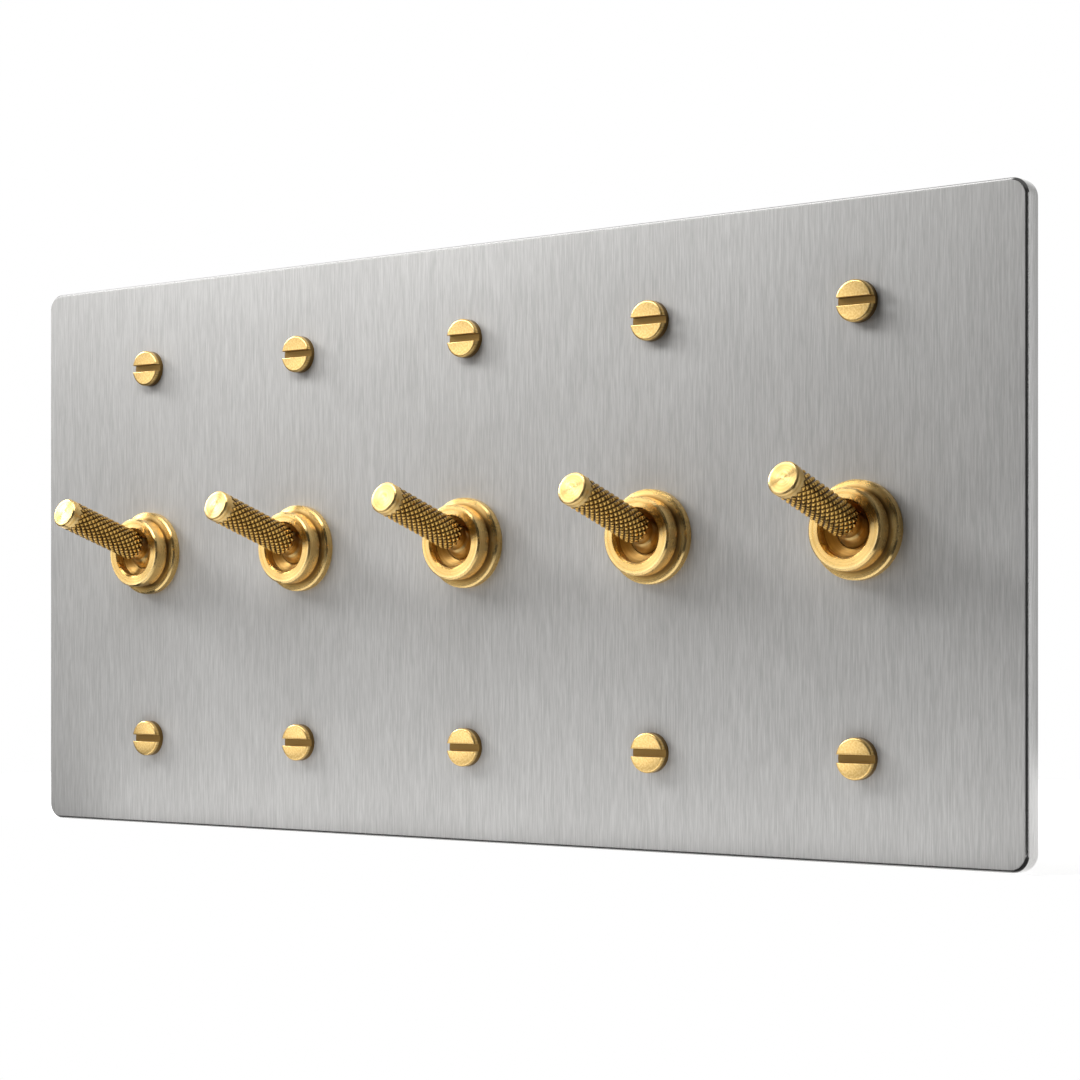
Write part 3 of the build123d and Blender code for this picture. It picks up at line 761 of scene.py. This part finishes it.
def bushingMesh(x):
    b = bushing
    # the dish is an arc from the mouth to the edge that catches the ball
    rim, edge = Vector((b["mouth"], b["front"])), Vector((b["catch"], b["catchAt"]))
    chord, axis = edge - rim, Vector((0, b["front"]))
    rise = sqrt(b["dishRadius"] ** 2 - (chord.length / 2) ** 2)
    side = Vector((-chord.y, chord.x)).normalized()
    centre = (rim + edge) / 2 + side * rise
    if (centre - axis).length > (centre - 2 * side * rise - axis).length:
        centre -= 2 * side * rise
    start, end = atan2(rim.y - centre.y, rim.x - centre.x), atan2(edge.y - centre.y, edge.x - centre.x)
    end += 2 * pi * round((start - end) / (2 * pi))
    profile = []
    for k in range(b["dishSteps"] + 1):
        a = start + (end - start) * k / b["dishSteps"]
        profile.append((centre.x + b["dishRadius"] * cos(a), centre.y + b["dishRadius"] * sin(a)))
    rest = [tuple(edge), (b["seat"], b["catchAt"] + b["seat"] - b["catch"]), (b["seat"], b["seatEnd"]),
            (b["tailBore"], b["back"]), (b["lip"], b["back"]), (b["lip"], b["lipFront"]),
            (b["spigot"], b["lipFront"]), (b["spigot"], b["shoulder"]), (b["outer"], b["shoulder"]),
            (b["outer"], b["front"])]
    profile += softened(rest, [0, 0, 0, b["backSoft"], b["lipSoft"], 0, 0, 0, b["backSoft"], 0])[1:]
    return turnedMesh("turnedBushing", profile, b["segments"], alongY(x, 0), closed=True)


for number, x in enumerate(gangX, start=1):
    finishPiece(f"turnedBezel_{number}", bezelMesh(x), bezelBrass, "bezel_brass", "plate_body", f"bezel_{number}")
    finishPiece(f"turnedBushing_{number}", bushingMesh(x), shadedBushingBrass, "bezel_brass", "plate_body",
                f"bushing_{number}")
print("bezels and bushings made")


# slotted screws: one screw modelled, laid out by nodes

plateScrew = dict(head=3.9, top=-6.1, seat=-4.0, rim=0.45, rimSteps=6, slot=1.5, slotDepth=1.2, slotEdge=0.14,
                  neck=1.45, neckEnd=-0.5, thread=1.75, root=1.38, pitch=0.794, threadSteps=6, end=15.0, point=0.5,
                  steps=40, segments=28, levels=2, levelPitch=plate["lugPitch"])
terminalScrew = dict(head=2.4, top=22.4, seat=20.8, rim=0.25, rimSteps=6, slot=0.8, slotDepth=0.8, slotEdge=0.08,
                     neck=1.5, end=16.8, steps=28, segments=24, levels=3, levelPitch=8.2)


def headHalf(bm, depth, s, outward, side):
    # one half of a slotted head, from the slot's floor to the top, with a rolled rim
    floorAt = s["top"] - outward * s["slotDepth"]
    levels = [(floorAt, 0.0, 0.0)]
    for k in range(s["rimSteps"] + 1):
        a = pi / 2 * k / s["rimSteps"]
        up = s["rim"] * sin(a)
        over = max(0.0, up - (s["rim"] - s["slotEdge"]))
        worn = s["slotEdge"] - sqrt(max(0.0, s["slotEdge"] ** 2 - over ** 2))
        levels.append((s["top"] - outward * (s["rim"] - up), s["rim"] * (1 - cos(a)), worn))
    rings = []
    for y, inset, slotInset in levels:
        r, low = s["head"] - inset, s["slot"] / 2 + slotInset
        first = asin(low / r)
        ring = []
        for k in range(s["steps"] + 1):
            a = first + (pi - 2 * first) * k / s["steps"]
            point = bm.verts.new(Vector((r * cos(a), y, side * r * sin(a))) * mm)
            # the ring at the slot's floor is marked for painted shade, which darkens the slot towards its floor
            point[depth] = 1.0 if y == floorAt else 0.0
            ring.append(point)
        rings.append(ring)
    for one, two in zip(rings, rings[1:]):
        bridge(bm, one, two)
    bm.faces.new(rings[-1])
    bm.faces.new(list(reversed(rings[0])))


def screwHead(s, outward):
    # outward is the sign of Y on the head's side
    bm = bmesh.new()
    uv = bm.loops.layers.uv.new("UVMap")
    depth = bm.verts.layers.float.new("valley")
    for side in (1, -1):
        headHalf(bm, depth, s, outward, side)
    bmesh.ops.recalc_face_normals(bm, faces=bm.faces)
    for face in bm.faces:
        for loop in face.loops:
            loop[uv].uv = (loop.vert.co.x, loop.vert.co.z)
    return keepMesh("slottedHead", bm, turnedCrease)


def threadRadius(r, s, a):
    # a V thread between the neck and the point
    p = plateScrew
    if r <= p["neck"] + tiny or s < 0 or s > p["end"]:
        return r
    wave = abs(((s / p["pitch"] - a / (2 * pi)) % 1.0) * 2 - 1)
    fade = min(1.0, max(0.0, s / p["pitch"]))
    return min(r, p["root"] + (p["thread"] - p["root"]) * max(wave, 1 - fade))


def plateScrewMesh():
    p, place = plateScrew, alongY(0, 0)
    floorAt, threadEnd = p["top"] + p["slotDepth"], p["end"] - p["point"]
    slotFloor = [(0, floorAt), (p["head"], floorAt), (p["head"], p["seat"]), (p["neck"], p["seat"])]
    profile = [(0, p["seat"]), (p["neck"], p["seat"]), (p["neck"], p["neckEnd"]), (p["thread"], 0.0)]
    rings = int(ceil(threadEnd / p["pitch"] * p["threadSteps"]))
    profile += [(p["thread"], threadEnd * k / rings) for k in range(1, rings + 1)]
    profile += [(p["thread"] - p["point"], p["end"]), (0, p["end"])]
    foot = turnedMesh("screwFoot", slotFloor, 2 * p["steps"], place)
    shank = turnedMesh("screwShank", profile, p["segments"], place, radiusAt=threadRadius)
    # the slot's floor, the head's lower side and its underside are painted dark, a painted shade
    setShadeDepth(foot, lambda co: 1.0)
    setShadeDepth(shank, lambda co: 0.0)
    return joinMeshes("plateScrew", [screwHead(p, -1), foot, shank])


def terminalScrewMesh():
    t = terminalScrew
    floorAt = t["top"] - t["slotDepth"]
    profile = [(0, floorAt), (t["head"], floorAt), (t["head"], t["seat"]), (t["neck"], t["seat"]),
               (t["neck"], t["end"]), (0, t["end"])]
    stem = turnedMesh("screwStem", profile, t["segments"], alongY(0, 0))
    return joinMeshes("terminalScrew", [screwHead(t, 1), stem])


def layoutTree():
    tree, given = startNodes("screwLayout", (
        ("Screw", "Geometry"), ("Gangs", "Int"), ("Levels", "Int"), ("Gang Pitch", "Float"),
        ("Level Pitch", "Float"), ("Finish", "Material")))
    points, gang, level = rowPoints(tree, given["Gangs"], given["Levels"])
    place = node(tree, "ShaderNodeCombineXYZ")
    for axis, value, count, pitch in (("X", gang, "Gangs", "Gang Pitch"), ("Z", level, "Levels", "Level Pitch")):
        middle = mathNode(tree, "MULTIPLY", mathNode(tree, "SUBTRACT", given[count], 1.0), 0.5)
        offset = mathNode(tree, "SUBTRACT", value, middle)
        wire(tree, mathNode(tree, "MULTIPLY", offset, given[pitch]), place.inputs[axis])
    wire(tree, place.outputs[0], points.inputs["Position"])
    layCopies(tree, points, given["Screw"], given["Finish"])
    return tree


def layoutValues(screw, finish):
    return {"Gangs": gangs, "Levels": screw["levels"], "Gang Pitch": gangPitch * mm,
            "Level Pitch": screw["levelPitch"] * mm, "Finish": finish}


screwTree = layoutTree()
plateScrews = bakeNodes("slottedPlateScrews", plateScrewMesh(), screwTree, layoutValues(plateScrew, screwBrass))
finishPiece("slottedPlateScrews", plateScrews, screwBrass, "screw_brass", "plate_body", "plate_screws")
terminalScrews = bakeNodes("slottedTerminalScrews", terminalScrewMesh(), screwTree,
                           layoutValues(terminalScrew, contactBrass))
finishPiece("slottedTerminalScrews", terminalScrews, contactBrass, "contact_brass", "plate_body", "terminal_screws")
print("screws made:", len(plateScrews.polygons), "and", len(terminalScrews.polygons), "faces")


# floor, light and camera, in metres

studio = dict(
    floor=-0.0612, floorFront=-0.002, floorBack=0.3, floorHalf=0.3, floorColour=0.9, floorGlow=0.69,
    paperSize=60.0, paperSwing=0.01,
    # brightness of the room, and the directions between which it changes
    frontLeft=0.08, frontRight=0.03, frontTurn=(-0.6, 0.1), back=1.0, backRight=0.5, backTurn=(-0.3, 0.25),
    sideRight=0.85, sideTurn=(0.3, 0.7), below=0.03, belowTurn=(-0.3, -0.6), wallTurn=(0.05, 0.35),
    top=0.15, topTurn=(0.5, 0.9))
# each lamp: name, place, aim, width, height, watts
lamps = (
    ("keySoftbox", (-0.85, -0.3, 0.5), (0, 0, 0), 0.35, 0.35, 5.8),
    ("windowSoftbox", (-0.55, -0.7, 0.05), (-0.27, 0, 0), 0.6, 0.34, 1.15),
    ("faceSoftbox", (-0.66, -0.66, 0.57), (0, 0, 0), 0.5, 0.35, 0.38),
    ("frontFill", (0.2, -0.95, 0.0), (0, 0, 0), 0.3, 0.4, 0.17),
    ("topStrip", (-0.06, -0.12, 0.16), (-0.06, 0, 0.03), 0.22, 0.06, 0.29),
    ("edgeStrip", (-0.1125, 0.024, 0.2), (-0.1125, 0.024, 0), 0.36, 0.056, 0.095),
    ("floorBounce", (0.02, -0.045, -0.0625), (0.02, -0.045, 0), 0.26, 0.06, 0.052),
    ("floorLip", (0.007, -0.025, -0.0625), (0.007, -0.025, 0), 0.236, 0.03, 0.052),
    ("rightStrip", (0.7, -0.06, 0.03), (0, -0.02, 0.03), 0.08, 0.5, 0.17),
)
photoShot = dict(place=(0.331319, -0.410649, -0.021922), turn=37.547, lens=85.669, sensor=36.0,
                 shift=0.10229, near=0.01)


def studioFloor():
    # white paper: it glows a little where it is looked at, so that it stays white and still takes the shadow
    bm = bmesh.new()
    half, near, far = studio["floorHalf"], studio["floorFront"], studio["floorBack"]
    corners = ((-half, near), (half, near), (half, far), (-half, far))
    bm.faces.new([bm.verts.new((x, y, studio["floor"])) for x, y in corners])
    mesh = keepMesh("studioFloor", bm)
    material, tree, shader = startMaterial("studioFloor")
    place = node(tree, "ShaderNodeTexCoord").outputs["Object"]
    paper = noiseNode(tree, place, studio["paperSize"], 3.0, 0.55)
    white, swing = studio["floorColour"], studio["paperSwing"]
    wire(tree, colourBetween(tree, paper, (white - swing,) * 3, (white + swing,) * 3), shader["Base Color"])
    shader["Roughness"].default_value = 1.0
    shader["Specular IOR Level"].default_value = 0.0
    rays = node(tree, "ShaderNodeLightPath").outputs
    mirrored = mathNode(tree, "ADD", rays["Is Glossy Ray"], rays["Is Transmission Ray"])
    seen = mathNode(tree, "MINIMUM", mathNode(tree, "ADD", rays["Is Camera Ray"], mirrored), 1.0)
    wire(tree, mathNode(tree, "MULTIPLY", seen, studio["floorGlow"]), shader["Emission Strength"])
    shader["Emission Color"].default_value = (1, 1, 1, 1)
    mesh.materials.append(material)
    floor = linkPiece("studioFloor", mesh)


def studioWorld():
    # a white wall behind the part, a pale ceiling, and a room in front that darkens to the right
    world = bpy.data.worlds.new("studio")
    world.use_nodes = True
    scene.world = world
    tree = world.node_tree
    tree.nodes.clear()
    parts = node(tree, "ShaderNodeSeparateXYZ")
    wire(tree, node(tree, "ShaderNodeTexCoord").outputs["Generated"], parts.inputs[0])
    x, y, z = parts.outputs
    level = spread(tree, x, *studio["frontTurn"], studio["frontLeft"], studio["frontRight"])
    wall = spread(tree, x, *studio["backTurn"], studio["back"], studio["backRight"])
    wall = towards(tree, wall, studio["sideRight"], spread(tree, x, *studio["sideTurn"]))
    level = towards(tree, level, studio["below"], spread(tree, z, *studio["belowTurn"]))
    level = towards(tree, level, wall, spread(tree, y, *studio["wallTurn"]))
    level = towards(tree, level, studio["top"], spread(tree, z, *studio["topTurn"]))
    shade = node(tree, "ShaderNodeBackground")
    shade.inputs["Color"].default_value = (1, 1, 1, 1)
    wire(tree, level, shade.inputs["Strength"])
    wire(tree, shade.outputs[0], node(tree, "ShaderNodeOutputWorld").inputs["Surface"])


def softbox(name, place, aim, width, height, watts):
    lamp = bpy.data.lights.new(name, "AREA")
    lamp.shape = "RECTANGLE"
    lamp.size, lamp.size_y = width, height
    lamp.energy = watts
    box = bpy.data.objects.new(name, lamp)
    scene.collection.objects.link(box)
    box.location = place
    box.visible_camera = False
    box.rotation_euler = (Vector(aim) - Vector(place)).to_track_quat("-Z", "Y").to_euler()


def photoCamera():
    shot = bpy.data.cameras.new("photoCamera")
    shot.sensor_fit = "HORIZONTAL"
    shot.sensor_width = photoShot["sensor"]
    shot.lens = photoShot["lens"]
    shot.shift_y = photoShot["shift"]
    shot.clip_start = photoShot["near"]
    eye = bpy.data.objects.new("photoCamera", shot)
    scene.collection.objects.link(eye)
    eye.location = photoShot["place"]
    eye.rotation_euler = (pi / 2, 0, radians(photoShot["turn"]))
    scene.camera = eye


studioFloor()
studioWorld()
for lamp in lamps:
    softbox(*lamp)
photoCamera()
scene.view_settings.view_transform = "Standard"
print("stage ready")
